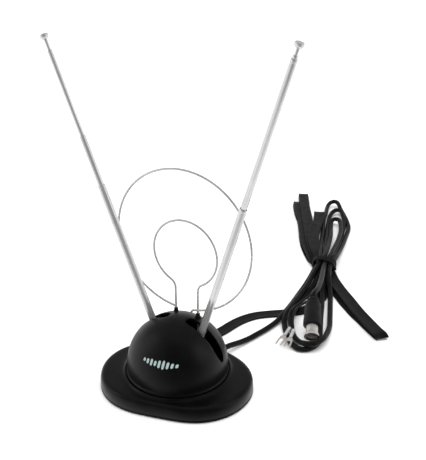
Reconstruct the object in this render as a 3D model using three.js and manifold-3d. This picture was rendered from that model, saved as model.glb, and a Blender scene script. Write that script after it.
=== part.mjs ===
// Set-top "rabbit ears" television antenna, in millimetres, +Z up.
// Origin: floor level under the dome's swivel axis. The two ears spread along X and the front faces -Y.
import * as THREE from 'three';
import { mergeVertices } from 'three/addons/utils/BufferGeometryUtils.js';
import Module from 'manifold-3d';

const wasm = await Module();
wasm.setup();

// ---------------------------------------------------------------- driving dimensions
const GAP = 0.3;                       // clearance left between neighbouring pieces
const FLOOR = 0;

const BASE_TURN = 10.8;                // degrees the weighted base is turned under the dome
const RIM_PARAM = 60;                  // lathe radius that is stretched onto the base outline
const RIM_BAND = 3.4;                  // width of the rounded rim
const COLLAR_RADIUS = 43.2;            // outside of the round collar that the dome turns in
const OUTLINE = [55.5, 3.8, -6.9, -1.45, 0.1, -0.65];   // cosine terms of the base outline radius
const BASE_UNDERSIDE = 1.2;
const BASE_TOP = 13;                   // flat deck inside the collar
const DECK_THICKNESS = 2.2;
const HUB_RADIUS = 7;
const STOP_RADIUS = 25;                // track radius of the swivel stop
const STOP_TRAVEL = 60;                // degrees each way from straight ahead

const DOME_RADIUS = 40.4;
const DOME_HEIGHT = 39.8;              // ellipse height above the dome's widest level
const DOME_LEVEL = 21;                 // height of the widest level
const DOME_WALL = 2.2;
const DOME_FOOT = 14;

const EAR_PLANE = 2.1;                 // Y of the plane in which both ears swing
const PIVOT_X = 11.5;
const PIVOT_Z = 21;
const LEFT_TILT = 21.6;                // degrees outward from vertical as the ears stand
const RIGHT_TILT = 17.15;
const SLOT_WIDTH = 10.2;
const SLOT_INNER = 7.2;
const SLOT_OUTER = 39.5;

const TUBES = [                        // outer radius, inner radius and length of each section
  { outer: 3.05, inner: 2.75, length: 138 },
  { outer: 2.45, inner: 2.15, length: 132 },
  { outer: 1.85, inner: 1.55, length: 127 },
  { outer: 1.25, inner: 0, length: 122 },
];
const TUBE_START = 10.7;               // first section starts this far above the pivot
const LEFT_DRAWN = [40.2, 67.4, 11.2];  // how far sections 2 to 4 stand out of the one below
const RIGHT_DRAWN = [114.2, 2.4, 8];

const WIRE = 0.9;                      // radius of the loop wire
const LARGE_RADIUS = 58.3;
const LARGE_Z = 121.7;
const SMALL_RADIUS = 27.9;
const SMALL_X = 0.7;
const SMALL_Z = 110.4;
const LEG_LEFT = -8.3;
const LEG_RIGHT = 11.7;
const LARGE_PLANE = 11.2;
const SMALL_PLANE = 13.3;
const LEG_BOTTOM = 35;

const COAX = 2.5;                      // radius of the round lead
const RIBBON_WIDTH = 12;
const RIBBON_THICK = 1.4;
const RIBBON_HOLE = RIBBON_WIDTH / 2 + 1.4;   // half width of the hole that its bush fits

const rad = THREE.MathUtils.degToRad;
const vec = (x, y, z) => new THREE.Vector3(x, y, z);

// ---------------------------------------------------------------- materials
function finish(color, roughness, metalness = 0) {
  return new THREE.MeshStandardMaterial({ color, roughness, metalness });
}
const satinBlack = finish(0x161617, 0.38);
const matteBlack = finish(0x1c1c1d, 0.6);
const rubber = finish(0x101010, 0.85);
const vinyl = finish(0x141415, 0.5);
const chrome = finish(0xc9cacb, 0.18, 1);
const steel = finish(0x9a9c9e, 0.35, 1);
const brass = finish(0xb8964a, 0.35, 1);
const iron = finish(0x4a4b4d, 0.7, 0.8);
const board = finish(0x8a5a2b, 0.7);
const ferrite = finish(0x2a2c30, 0.6);
const copper = finish(0xb06a3a, 0.35, 1);
const insulator = finish(0x5a2418, 0.5);
const clearTip = finish(0xd8d9d6, 0.3);

// ---------------------------------------------------------------- closed-body helpers
function closed(geometry) {
  const bare = geometry.clone();
  bare.deleteAttribute('normal');
  bare.deleteAttribute('uv');
  const merged = mergeVertices(bare, 1e-4);
  const source = merged.index.array;
  const kept = [];
  for (let i = 0; i < source.length; i += 3) {
    const [a, b, c] = [source[i], source[i + 1], source[i + 2]];
    if (a !== b && b !== c && c !== a) kept.push(a, b, c);
  }
  merged.setIndex(kept);
  if (signedVolume(merged) < 0) {
    for (let i = 0; i < kept.length; i += 3) [kept[i], kept[i + 1]] = [kept[i + 1], kept[i]];
    merged.setIndex(kept);
  }
  return merged;
}

function signedVolume(geometry) {
  const place = geometry.attributes.position;
  const index = geometry.index.array;
  const [a, b, c] = [vec(0, 0, 0), vec(0, 0, 0), vec(0, 0, 0)];
  let total = 0;
  for (let i = 0; i < index.length; i += 3) {
    a.fromBufferAttribute(place, index[i]);
    b.fromBufferAttribute(place, index[i + 1]);
    c.fromBufferAttribute(place, index[i + 2]);
    total += a.dot(b.cross(c));
  }
  return total / 6;
}

function toSolid(geometry) {
  const body = closed(geometry);
  return new wasm.Manifold(new wasm.Mesh({
    numProp: 3,
    vertProperties: new Float32Array(body.attributes.position.array),
    triVerts: new Uint32Array(body.index.array),
  }));
}

function fromSolid(solid) {
  const mesh = solid.getMesh();
  const geometry = new THREE.BufferGeometry();
  geometry.setAttribute('position', new THREE.Float32BufferAttribute(mesh.vertProperties, 3));
  geometry.setIndex(Array.from(mesh.triVerts));
  return geometry;
}

function cut(geometry, ...tools) {
  return fromSolid(tools.reduce((solid, tool) => solid.subtract(toSolid(tool)), toSolid(geometry)));
}

function join(geometry, ...others) {
  return fromSolid(others.reduce((solid, other) => solid.add(toSolid(other)), toSolid(geometry)));
}

// ---------------------------------------------------------------- shape helpers
function lathe(profile, segments = 32) {
  const points = profile.map(([r, z]) => new THREE.Vector2(r, z));
  return closed(new THREE.LatheGeometry(points, segments).rotateX(Math.PI / 2));
}

function disc(radius, low, high, segments = 24) {
  return lathe([[0, low], [radius, low], [radius, high], [0, high]], segments);
}

function ring(inner, outer, low, high, segments = 32) {
  return lathe([[inner, low], [outer, low], [outer, high], [inner, high], [inner, low]], segments);
}

function block(x0, x1, y0, y1, z0, z1) {
  const box = new THREE.BoxGeometry(x1 - x0, y1 - y0, z1 - z0);
  return closed(box.translate((x0 + x1) / 2, (y0 + y1) / 2, (z0 + z1) / 2));
}

function extrude(shape, low, high, curveSegments = 12) {
  const options = { depth: high - low, bevelEnabled: false, curveSegments };
  return closed(new THREE.ExtrudeGeometry(shape, options).translate(0, 0, low));
}

function roundSection(radius, sides) {
  const shape = new THREE.Shape();
  for (let i = 0; i < sides; i += 1) {
    const angle = (2 * Math.PI * i) / sides;
    const [x, y] = [radius * Math.cos(angle), radius * Math.sin(angle)];
    if (i === 0) shape.moveTo(x, y);
    else shape.lineTo(x, y);
  }
  shape.closePath();
  return shape;
}

function flatSection(thickness, width) {
  const shape = new THREE.Shape();
  shape.moveTo(-thickness / 2, -width / 2);
  shape.lineTo(thickness / 2, -width / 2);
  shape.lineTo(thickness / 2, width / 2);
  shape.lineTo(-thickness / 2, width / 2);
  shape.closePath();
  return shape;
}

function sweep(section, path, steps) {
  return closed(new THREE.ExtrudeGeometry(section, { steps, extrudePath: path, curveSegments: 1 }));
}

function spline(points) {
  return new THREE.CatmullRomCurve3(points.map((p) => vec(...p)), false, 'centripetal');
}

function outlineShape(points) {
  const shape = new THREE.Shape();
  shape.moveTo(points[0][0], points[0][1]);
  shape.splineThru([...points.slice(1), points[0]].map(([x, y]) => new THREE.Vector2(x, y)));
  return shape;
}

function slotShape(inner, outer, centreY, width, side) {
  const half = width / 2;
  const shape = new THREE.Shape();
  const [near, far] = [inner + half, outer - half];
  shape.absarc(side > 0 ? far : -near, centreY, half, -Math.PI / 2, Math.PI / 2, false);
  shape.absarc(side > 0 ? near : -far, centreY, half, Math.PI / 2, 1.5 * Math.PI, false);
  shape.closePath();
  return shape;
}

// ---------------------------------------------------------------- scene graph
const antenna = new THREE.Group();

function add(name, geometry, material, parent = antenna) {
  const mesh = new THREE.Mesh(geometry, material);
  mesh.name = name;
  parent.add(mesh);
  return mesh;
}

const base = new THREE.Group();
base.rotation.z = rad(BASE_TURN);
antenna.add(base);

// ---------------------------------------------------------------- weighted base
// The outline is a rounded bean: two side lobes, a shallow front and a rounder back.
function outlineRadius(angle) {
  const fromFront = angle + Math.PI / 2;
  return OUTLINE.reduce((sum, term, k) => sum + term * Math.cos(k * fromFront), 0);
}

// Stretches everything outside the collar from a circle onto the base outline.
// The rim band keeps its true distance from the outline, and the deck between is stretched evenly.
function stretchToOutline(geometry) {
  const place = geometry.attributes.position;
  for (let i = 0; i < place.count; i += 1) {
    const [x, y] = [place.getX(i), place.getY(i)];
    const radius = Math.hypot(x, y);
    if (radius <= COLLAR_RADIUS) continue;
    const inset = RIM_PARAM - radius;
    const rim = outlineRadius(Math.atan2(y, x));
    const share = (radius - COLLAR_RADIUS) / (RIM_PARAM - RIM_BAND - COLLAR_RADIUS);
    const onDeck = COLLAR_RADIUS + share * (rim - RIM_BAND - COLLAR_RADIUS);
    const wanted = inset <= RIM_BAND ? rim - inset : onDeck;
    place.setXY(i, (x * wanted) / radius, (y * wanted) / radius);
  }
  return geometry;
}

// A frame on the base wall where a lead leaves: its +Y axis points straight out of the wall.
function wallFrame(aroundDegrees, z) {
  const point = (angle) => vec(Math.cos(angle), Math.sin(angle), 0).multiplyScalar(outlineRadius(angle));
  const angle = rad(aroundDegrees);
  const along = point(angle + 0.001).sub(point(angle - 0.001));
  const frame = new THREE.Group();
  frame.position.copy(point(angle)).setZ(z);
  frame.rotation.z = Math.atan2(-along.y, -along.x);
  frame.updateMatrix();
  return frame;
}

const bosses = [[-44, -23], [44, -23], [-41, 20], [41, 20]];
const coaxExit = wallFrame(62, 7);
const ribbonExit = wallFrame(90, 4.6);

function makeBase() {
  const deckUnder = BASE_TOP - DECK_THICKNESS;
  const shell = stretchToOutline(lathe([
    [60, 1], [59.3, 9.8], [58.7, 11.4], [56.6, 12.5],
    [COLLAR_RADIUS, 13.2], [COLLAR_RADIUS, 14], [42.9, 14.3], [41.8, 14.3], [41.5, BASE_TOP],
    [HUB_RADIUS, BASE_TOP], [HUB_RADIUS, deckUnder], [44, deckUnder],
    [56, 10.4], [57, 9.6], [57.5, 1], [60, 1],
  ], 48));
  const pillars = bosses.map(([x, y]) => disc(3.6, 3.6, deckUnder + 0.8, 12).translate(x, y, 0));
  const pilots = bosses.map(([x, y]) => disc(1.25, 3, 9, 10).translate(x, y, 0));
  const half = STOP_TRAVEL + 5;
  const track = new THREE.Shape();
  track.absarc(0, 0, STOP_RADIUS + 2.1, rad(90 - half), rad(90 + half), false);
  track.absarc(0, 0, STOP_RADIUS - 2.1, rad(90 + half), rad(90 - half), true);
  track.closePath();
  const coaxHole = disc(3.4, -12, 12, 16).rotateX(Math.PI / 2).applyMatrix4(coaxExit.matrix);
  const ribbonHole = block(-RIBBON_HOLE, RIBBON_HOLE, -8, 8, -1.6, 1.6).applyMatrix4(ribbonExit.matrix);
  const openings = [...pilots, extrude(track, 8, BASE_TOP + 2, 10), coaxHole, ribbonHole];
  add('base_shell', cut(join(shell, ...pillars), ...openings), satinBlack, base);

  const plateProfile = [[0, BASE_UNDERSIDE], [57.1, BASE_UNDERSIDE], [57.1, 3.2], [0, 3.2]];
  const plate = stretchToOutline(lathe(plateProfile, 48));
  const holes = bosses.map(([x, y]) => disc(1.9, 0, 5, 12).translate(x, y, 0));
  const sinks = bosses.map(([x, y]) => disc(3.2, 0, 2.2, 12).translate(x, y, 0));
  add('base_plate', cut(plate, ...holes, ...sinks), matteBlack, base);

  bosses.forEach(([x, y], i) => {
    const screw = lathe([[0, 1.4], [2.8, 1.4], [2.8, 1.9], [0.95, 2.5], [0.95, 8.4], [0, 8.7]], 12);
    add(`base_screw_${i + 1}`, screw, steel, base).position.set(x, y, 0);
  });

  const footSpots = [[-36, -28], [36, -28], [-30, 22], [30, 22]];
  const foot = () => lathe([[0, FLOOR], [4.6, FLOOR], [5, 0.4], [5, 1.1], [0, 1.1]], 14);
  footSpots.forEach(([x, y], i) => {
    add(`base_foot_${i + 1}`, foot(), rubber, base).position.set(x, y, 0);
  });
  add('centre_foot', lathe([[0, FLOOR], [6.6, FLOOR], [7, 0.4], [7, 1.1], [0, 1.1]], 16), rubber, base);

  const weight = new THREE.Shape();
  weight.absarc(0, 0, 38, rad(90 + 42), rad(90 - 42 + 360), false);
  weight.absarc(0, 0, 12.5, rad(90 - 42 + 360), rad(90 + 42), true);
  weight.closePath();
  add('ballast_plate', extrude(weight, 3.5, 8.8, 12), iron, base);

  add('friction_ring', ring(9.6, 17, BASE_TOP + 0.1, BASE_TOP + 0.8, 24), matteBlack, base);
}

// ---------------------------------------------------------------- turning dome and its floor
function domeArc(inset, steps) {
  const points = [];
  for (let i = 0; i < steps; i += 1) {
    const angle = (Math.PI / 2) * (i / steps);
    const [reach, rise] = [DOME_RADIUS - inset, DOME_HEIGHT - inset];
    points.push([reach * Math.cos(angle), DOME_LEVEL + rise * Math.sin(angle)]);
  }
  return [...points, [0, DOME_LEVEL + DOME_HEIGHT - inset]];
}

function domeProfile() {
  const foot = [[DOME_RADIUS - DOME_WALL, DOME_FOOT], [41.1, DOME_FOOT], [41.1, 15.2], [DOME_RADIUS, 15.7]];
  return [...domeArc(DOME_WALL, 7).reverse(), ...foot, ...domeArc(0, 8)];
}

const domeScrews = [[0, -31], [-6, 30]];

function makeTurret() {
  const pillars = domeScrews.map(([x, y]) => disc(3.2, 16.6, 46, 14).translate(x, y, 0));
  const pilots = domeScrews.map(([x, y]) => disc(1.35, 10, 26, 10).translate(x, y, 0));
  const dome = lathe(domeProfile(), 40);
  const envelope = lathe([[0, 10], [DOME_RADIUS - 1, 10], ...domeArc(1, 8)], 24);
  const trimmed = pillars.map((pillar) => fromSolid(toSolid(pillar).intersect(toSolid(envelope))));
  const slots = [1, -1].map((side) => (
    extrude(slotShape(SLOT_INNER, SLOT_OUTER, EAR_PLANE, SLOT_WIDTH, side), 30, 80, 5)
  ));
  const legHoles = [LEG_LEFT, LEG_RIGHT].map((x) => disc(2.6, 45, 70, 16).translate(x, SMALL_PLANE, 0));
  add('dome_shell', cut(join(dome, ...trimmed), ...slots, ...legHoles, ...pilots), satinBlack);

  const deck = lathe([
    [4.4, 5.6], [6.6, 5.6], [6.6, BASE_TOP + 1], [37.7, BASE_TOP + 1], [37.7, 16.2],
    [4.4, 16.2], [4.4, 5.6],
  ], 36);
  const lug = disc(1.7, BASE_TOP - 1.8, BASE_TOP + 1.5, 12).translate(0, STOP_RADIUS, 0);
  const heads = domeScrews.map(([x, y]) => disc(3, 13, 15, 14).translate(x, y, 0));
  const shafts = domeScrews.map(([x, y]) => disc(1.6, 13, 18, 12).translate(x, y, 0));
  add('turntable', cut(join(deck, lug), ...heads, ...shafts), matteBlack);

  add('swivel_clip', ring(6.9, 10.4, 9.5, 10.4, 16), steel);
  domeScrews.forEach(([x, y], i) => {
    const screw = lathe([[0, 14.1], [2.6, 14.1], [2.6, 14.7], [1, 14.9], [1, 25], [0, 25.2]], 12);
    add(`dome_screw_${i + 1}`, screw, steel).position.set(x, y, 0);
  });
}

// ---------------------------------------------------------------- ears
function makeBracket(name, side) {
  const cheek = new THREE.Shape();
  cheek.moveTo(-4.5, 16.5);
  cheek.lineTo(4.5, 16.5);
  cheek.lineTo(4.5, PIVOT_Z);
  cheek.absarc(0, PIVOT_Z, 4.5, 0, Math.PI, false);
  cheek.closePath();
  const plate = extrude(cheek, -3.8, 3.8, 8).rotateX(Math.PI / 2);
  const slot = block(-6, 6, -2.5, 2.5, 17.5, 40);
  const bore = disc(1.8, -8, 8, 16).rotateX(Math.PI / 2).translate(0, 0, PIVOT_Z);
  add(name, cut(plate, slot, bore), brass).position.set(side * PIVOT_X, EAR_PLANE, 0);
}

function makePivot(suffix, side) {
  const screw = lathe([[0, -6.4], [2.9, -6.4], [2.9, -4.1], [1.5, -4.1], [1.5, 7], [0, 7]], 16);
  const nut = cut(new THREE.CylinderGeometry(3.1, 3.1, 2, 6).rotateX(Math.PI / 2), disc(1.8, -3, 3, 16));
  const upright = add(`pivot_screw_${suffix}`, screw, steel);
  upright.position.set(side * PIVOT_X, EAR_PLANE, PIVOT_Z);
  upright.rotation.x = -Math.PI / 2;
  const cap = add(`pivot_nut_${suffix}`, nut, steel);
  cap.position.set(side * PIVOT_X, EAR_PLANE + 5.2, PIVOT_Z);
  cap.rotation.x = -Math.PI / 2;
}

function knuckleGeometry() {
  const eye = disc(3.1, -1.9, 1.9, 16).rotateX(Math.PI / 2);
  const tongue = block(-2.6, 2.6, -1.9, 1.9, 0, 8.6);
  const stem = lathe([[0, 8], [3.05, 8], [3.05, 10.4], [2.4, 10.4], [2.4, 17], [0, 17]], 16);
  const bore = disc(1.8, -4, 4, 12).rotateX(Math.PI / 2);
  return cut(join(tongue, eye, stem), bore);
}

function tubeGeometry({ outer, inner, length }) {
  const lip = 0.25;
  if (inner === 0) return lathe([[0, 0], [outer, 0], [outer, length], [0, length]], 12);
  return lathe([
    [inner, 0], [outer, 0], [outer, length - 1.2], [outer - lip, length], [inner, length], [inner, 0],
  ], 16);
}

function tipGeometry() {
  const bore = 1.55;
  return lathe([
    [bore, 0], [2.1, 0], [2.6, 0.6], [3.1, 2.2], [3.1, 3.5], [2.7, 4.5], [1.6, 5.1], [0, 5.3],
    [0, 3.4], [bore, 3.4], [bore, 0],
  ], 16);
}

function makeEar(suffix, side, tilt, drawn) {
  const ear = new THREE.Group();
  ear.position.set(side * PIVOT_X, EAR_PLANE, PIVOT_Z);
  ear.rotation.y = side * rad(tilt);
  antenna.add(ear);
  add(`${suffix}_knuckle`, knuckleGeometry(), brass, ear);
  let top = TUBE_START + TUBES[0].length;
  add(`${suffix}_tube_1`, tubeGeometry(TUBES[0]), chrome, ear).position.z = TUBE_START;
  drawn.forEach((out, i) => {
    const tube = TUBES[i + 1];
    top += out;
    add(`${suffix}_tube_${i + 2}`, tubeGeometry(tube), chrome, ear).position.z = top - tube.length;
  });
  add(`${suffix}_tip`, tipGeometry(), chrome, ear).position.z = top - 3.1;
}

// ---------------------------------------------------------------- wire loops and their clamp
function planarPath(curves, y) {
  const path = new THREE.CurvePath();
  const lift = (point) => vec(point.x, y, point.y);
  curves.forEach((curve) => path.add(new LiftedCurve(curve, lift)));
  return path;
}

class LiftedCurve extends THREE.Curve {
  constructor(flat, lift) {
    super();
    this.flat = flat;
    this.lift = lift;
  }

  getPoint(t) {
    return this.lift(this.flat.getPoint(t));
  }
}

function makeLargeLoop() {
  const startAngle = -Math.PI / 2 - Math.asin(7.2 / LARGE_RADIUS);
  const endAngle = -Math.PI / 2 + Math.asin(9.4 / LARGE_RADIUS);
  const hoop = new THREE.EllipseCurve(0, LARGE_Z, LARGE_RADIUS, LARGE_RADIUS, startAngle, endAngle, true);
  const from = hoop.getPoint(1);
  const tail = new THREE.QuadraticBezierCurve(from, new THREE.Vector2(from.x - 2, from.y - 0.2),
    new THREE.Vector2(from.x - 2.6, from.y - 2.8));
  add('large_loop', sweep(roundSection(WIRE, 6), planarPath([hoop, tail], LARGE_PLANE), 56), chrome);
}

function makeSmallLoop() {
  const mouth = rad(29);
  const point = (x, z) => new THREE.Vector2(x, z);
  const hoop = new THREE.EllipseCurve(SMALL_X, SMALL_Z, SMALL_RADIUS, SMALL_RADIUS,
    -Math.PI / 2 - mouth, -Math.PI / 2 + mouth, true);
  const [left, right] = [hoop.getPoint(0), hoop.getPoint(1)];
  const neck = 78.5;
  const curves = [
    new THREE.LineCurve(point(LEG_LEFT, LEG_BOTTOM), point(LEG_LEFT, neck)),
    new THREE.QuadraticBezierCurve(point(LEG_LEFT, neck), point(LEG_LEFT, left.y - 2.2), left),
    hoop,
    new THREE.QuadraticBezierCurve(right, point(LEG_RIGHT, right.y - 2.2), point(LEG_RIGHT, neck)),
    new THREE.LineCurve(point(LEG_RIGHT, neck), point(LEG_RIGHT, LEG_BOTTOM)),
  ];
  add('small_loop', sweep(roundSection(WIRE, 6), planarPath(curves, SMALL_PLANE), 60), chrome);
}

function makeLoopFittings() {
  const legs = { left: LEG_LEFT, right: LEG_RIGHT };
  Object.entries(legs).forEach(([suffix, x]) => {
    const profile = [[1.2, 53], [2.3, 53], [2.3, 58.6], [2, 60.4], [1.5, 61.2], [1.2, 61.2], [1.2, 53]];
    const bush = lathe(profile, 16);
    add(`loop_bush_${suffix}`, bush, rubber).position.set(x, SMALL_PLANE, 0);
  });
  const bar = block(LEG_LEFT - 5, LEG_RIGHT + 5, SMALL_PLANE - 4, SMALL_PLANE + 4, 34, 42);
  const column = block(-3, 6.5, SMALL_PLANE - 4, SMALL_PLANE + 4, 16.5, 36);
  const bores = Object.values(legs).map((x) => disc(1.25, 34.6, 50, 14).translate(x, SMALL_PLANE, 0));
  add('loop_clamp', cut(join(bar, column), ...bores), board);
}

// ---------------------------------------------------------------- matching circuit in the dome
function makeCircuit() {
  add('terminal_board', block(-16, 16, -14.8, -13.3, 16.6, 36), board);
  const core = new THREE.TorusGeometry(5.2, 1.8, 8, 16).rotateX(Math.PI / 2).translate(0, -18.4, 27);
  add('balun_core', closed(core), ferrite);
  const turns = 3;
  const points = [];
  for (let i = 0; i <= turns * 8; i += 1) {
    const around = (2 * Math.PI * i) / 8;
    const along = rad(50 + (80 * i) / (turns * 8));
    const reach = 5.2 + 2.55 * Math.cos(around);
    points.push([reach * Math.cos(along), -18.4 + 2.55 * Math.sin(around), 27 + reach * Math.sin(along)]);
  }
  add('balun_winding', sweep(roundSection(0.3, 4), spline(points), 30), copper);
}

// ---------------------------------------------------------------- leads
// Both leads leave the back of the base, lie on the floor and end in one bundle tied in the middle.
function outOf(exit, outward) {
  const beside = vec(0, outward, 0).applyMatrix4(exit.matrix);
  return beside.applyAxisAngle(vec(0, 0, 1), rad(BASE_TURN)).toArray();
}

const coaxRoute = [
  outOf(coaxExit, 7.3), outOf(coaxExit, 11), [16.6, 58.5, 6.3], [18.8, 66, 4.8], [21.8, 74.5, 3.4],
  [24.8, 83, 2.7], [28.6, 95, 2.6], [32.2, 108, 2.6], [34.2, 118, 2.6],
];
const ribbonRoute = [
  outOf(ribbonExit, 3.9), outOf(ribbonExit, 8), [-10.6, 60, 2.6], [-9, 70, 1.2], [-5.6, 79, 0.9],
  [-2.9, 88, 0.9],
  [-0.6, 98, 0.9], [2.6, 108.5, 0.9], [7.2, 118, 0.9], [13, 125.8, 0.9], [20.5, 132, 0.9], [28.5, 138, 0.9],
  [36.5, 143.5, 0.9], [44, 149.8, 0.9], [49.5, 158, 0.9], [52.5, 168, 0.9],
];
const ribbonOutline = [
  [131, 146], [112, 169], [93, 190], [72, 213], [46, 243], [20, 290], [-4, 340], [-14, 386],
  [-36, 394], [-50, 430], [-67, 426], [-64, 392], [-35, 343], [-6, 286], [30, 236], [62, 192],
  [103, 149], [124, 131],
];
const coaxOutline = [
  [27, 228], [29, 205], [30, 170], [31, 140], [39, 117], [53, 97], [68, 85], [82, 91], [88, 112], [85, 135],
  [72, 172], [56, 216], [46, 247], [41, 290], [32, 345], [6, 398], [-16, 428], [-25, 424], [-24, 395],
  [-8, 345], [14, 290], [26, 250],
];
const coaxHollow = [
  [43.5, 190], [44, 165], [46.5, 145], [52.5, 125], [61, 109.5], [69, 101.5], [74.5, 102], [77, 112],
  [72, 134], [63.5, 160], [56, 180], [50, 192],
];
const RIBBON_STACK = 8;                // height of the folded ribbon
const TIE = vec(36, 241, 8.5);
const TIE_HALF_WIDTH = 3.2;            // half the length of bundle that the tie's turns cover
const PLUG_NECK = vec(62.2, 139, 28);
const PLUG_MOUTH = vec(75.5, 103.1, 7.3);
const PLUG_LENGTH = PLUG_NECK.distanceTo(PLUG_MOUTH);
const PLUG_BOOT_END = 32;              // length of the moulded boot, from its neck
const plugLeadRoute = [                // the last stretch, which arches over the bundle to the plug
  [37.2, 241.2, 12.6], [41.6, 223, 14.4], [46.8, 205, 18.2], [51.6, 187, 23.4], [55.2, 170.5, 28.6],
  [57.4, 158, 31.6], [59.4, 148, 31.6], [61.8, 140, 28.6],
];

function makeGrommets() {
  const collar = lathe([
    [2.7, -7.4], [3.6, -7.4], [3.6, -5.6], [3, -5.6], [3, 1.5], [5, 1.5], [5, 2.6], [3.6, 7],
    [2.7, 7], [2.7, -7.4],
  ], 16).rotateX(-Math.PI / 2);
  add('coax_grommet', collar, rubber, coaxExit);
  const half = RIBBON_WIDTH / 2;
  const outside = block(-half - 2.4, half + 2.4, 2, 3.6, -2.6, 2.6);
  const sleeve = block(-half - 1.1, half + 1.1, -3.6, 3, -1.3, 1.3);
  const slit = block(-half - GAP, half + GAP, -6, 6, -0.95, 0.95);
  add('ribbon_bush', cut(join(outside, sleeve), slit), rubber, ribbonExit);
  base.add(coaxExit, ribbonExit);
}

function makeInnerTails() {
  const inside = (exit, inward) => vec(0, -inward, 0).applyMatrix4(exit.matrix).toArray();
  const coax = spline([inside(coaxExit, 8), [15, 28, 6.6], [8, 17, 6.2], [3, 10, 6.1]]);
  add('coax_tail', sweep(roundSection(COAX, 8), coax, 12), vinyl, base);
  const ribbon = spline([inside(ribbonExit, 4), [-0.5, 32, 4.6], [-2, 22, 4.6], [-5, 13.5, 4.6]]);
  add('ribbon_tail', sweep(flatSection(RIBBON_THICK, RIBBON_WIDTH), ribbon, 10), vinyl, base);
}

function tieFrame(geometry) {
  return geometry.rotateX(Math.PI / 2).rotateZ(rad(8)).translate(TIE.x, TIE.y, TIE.z);
}

function tieBand(grow) {
  const band = (across, up, along) => block(-across, across, -up, up, -along, along);
  const outside = band(12 + grow, 8.2 + grow, TIE_HALF_WIDTH + grow);
  return tieFrame(cut(outside, band(10.8 - grow, 7 - grow, 6)));
}

function pointAt(group, from, towards) {
  const heading = towards.clone().sub(from).normalize();
  group.position.copy(from);
  group.quaternion.setFromUnitVectors(vec(0, 0, 1), heading);
  return group;
}

function placed(geometry, from, towards) {
  const frame = pointAt(new THREE.Group(), from, towards);
  frame.updateMatrix();
  return geometry.applyMatrix4(frame.matrix);
}

function makeLeads() {
  const ribbonPath = spline(ribbonRoute);
  add('coax_lead', sweep(roundSection(COAX, 8), spline(coaxRoute), 16), vinyl);
  const stack = extrude(outlineShape(ribbonOutline), 0.3, RIBBON_STACK, 2);
  const leadRoom = sweep(flatSection(RIBBON_THICK + 2 * GAP, RIBBON_WIDTH + 2 * GAP), ribbonPath, 26);
  add('ribbon_lead', sweep(flatSection(RIBBON_THICK, RIBBON_WIDTH), ribbonPath, 26), vinyl);
  add('ribbon_hank', cut(stack, leadRoom, tieBand(GAP)), vinyl);

  const outline = outlineShape(coaxOutline);
  const within = (geometry, y0, y1) => (
    fromSolid(toSolid(geometry).intersect(toSolid(block(-200, 200, y0, y1, -10, 100))))
  );
  const lower = within(extrude(outline, 0.2, 5.4, 2), 0, 206);
  const waist = within(extrude(outline, 0.2, 15.2, 2), 205, 275);
  const upper = within(extrude(outline, 0.2, 10, 2), 274, 600);
  const ribbonRoom = extrude(outlineShape(ribbonOutline), -2, RIBBON_STACK + GAP, 2);
  const plugSpace = lathe([[0, -GAP], [3.7, -GAP], [4.2, 2.6], [6.4, 3.4], [9, 9], [9, 47], [0, 47]], 16);
  const plugRoom = placed(plugSpace, PLUG_NECK, PLUG_MOUTH);
  const coaxRoom = sweep(roundSection(COAX + GAP, 8), spline(coaxRoute), 16);
  const hollow = extrude(outlineShape(coaxHollow), -2, 7, 2);
  const arch = sweep(roundSection(COAX, 8), spline(plugLeadRoute), 18);
  const bundle = join(lower, waist, upper, arch);
  add('coax_hank', cut(bundle, ribbonRoom, leadRoom, hollow, plugRoom, coaxRoom, tieBand(GAP)), vinyl);
  add('twist_tie', tieBand(0), rubber);
}

function makePlug() {
  const plug = pointAt(new THREE.Group(), PLUG_NECK, PLUG_MOUTH);
  antenna.add(plug);
  const end = PLUG_LENGTH;
  const boot = lathe([
    [0, 0], [3.2, 0], [3.6, 3.4], [5.5, 4], [5.6, 7], [5.2, 7.5], [6.8, 8.8], [7.5, 14], [7.9, 24],
    [8.1, PLUG_BOOT_END - 1], [7.6, PLUG_BOOT_END], [0, PLUG_BOOT_END],
  ], 16);
  add('plug_boot', boot, matteBlack, plug);
  const ringStart = PLUG_BOOT_END + GAP;
  const shell = lathe([
    [4.7, ringStart], [5.4, ringStart], [5.4, 38.9], [6.1, 39.4], [6.8, 42.2], [6.8, end - 0.5],
    [6.5, end], [6, end], [5.6, 40.6], [4.7, 40.2], [4.7, ringStart],
  ], 16);
  add('plug_shell', shell, chrome, plug);
  add('plug_insulator', ring(1, 4.4, ringStart, 42.8, 14), insulator, plug);
  add('plug_pin', disc(0.7, ringStart, 43.2, 8), brass, plug);
}

function makeForkTerminals() {
  const fork = new THREE.Shape();
  fork.moveTo(-1.2, 10);
  const prongs = [
    [1.2, 10], [3.1, 13], [3.1, 22], [1.6, 22], [1.6, 14.6],
    [-1.6, 14.6], [-1.6, 22], [-3.1, 22], [-3.1, 13],
  ];
  prongs.forEach(([x, y]) => fork.lineTo(x, y));
  fork.closePath();
  const geometry = join(extrude(fork, -0.4, 0.4).rotateX(Math.PI / 2), disc(1.5, 0, 11, 10));
  const spots = [
    { from: vec(53.6, 106, 9.2), towards: vec(52, 84.5, 4) },
    { from: vec(58, 103.8, 9.4), towards: vec(60.5, 84.5, 6) },
  ];
  spots.forEach(({ from, towards }, i) => {
    pointAt(add(`fork_terminal_${i + 1}`, geometry.clone(), clearTip), from, towards);
  });
}

makeBase();
makeTurret();
makeBracket('pivot_bracket_left', -1);
makeBracket('pivot_bracket_right', 1);
makePivot('left', -1);
makePivot('right', 1);
makeEar('left', -1, LEFT_TILT, LEFT_DRAWN);
makeEar('right', 1, RIGHT_TILT, RIGHT_DRAWN);
makeLargeLoop();
makeSmallLoop();
makeLoopFittings();
makeCircuit();
makeGrommets();
makeInnerTails();
makeLeads();
makePlug();
makeForkTerminals();

export default antenna;
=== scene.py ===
"""Set-top rabbit-ears antenna: the visual model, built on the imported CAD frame."""
import math

import bmesh
import bpy
from mathutils import Matrix, Vector


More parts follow.
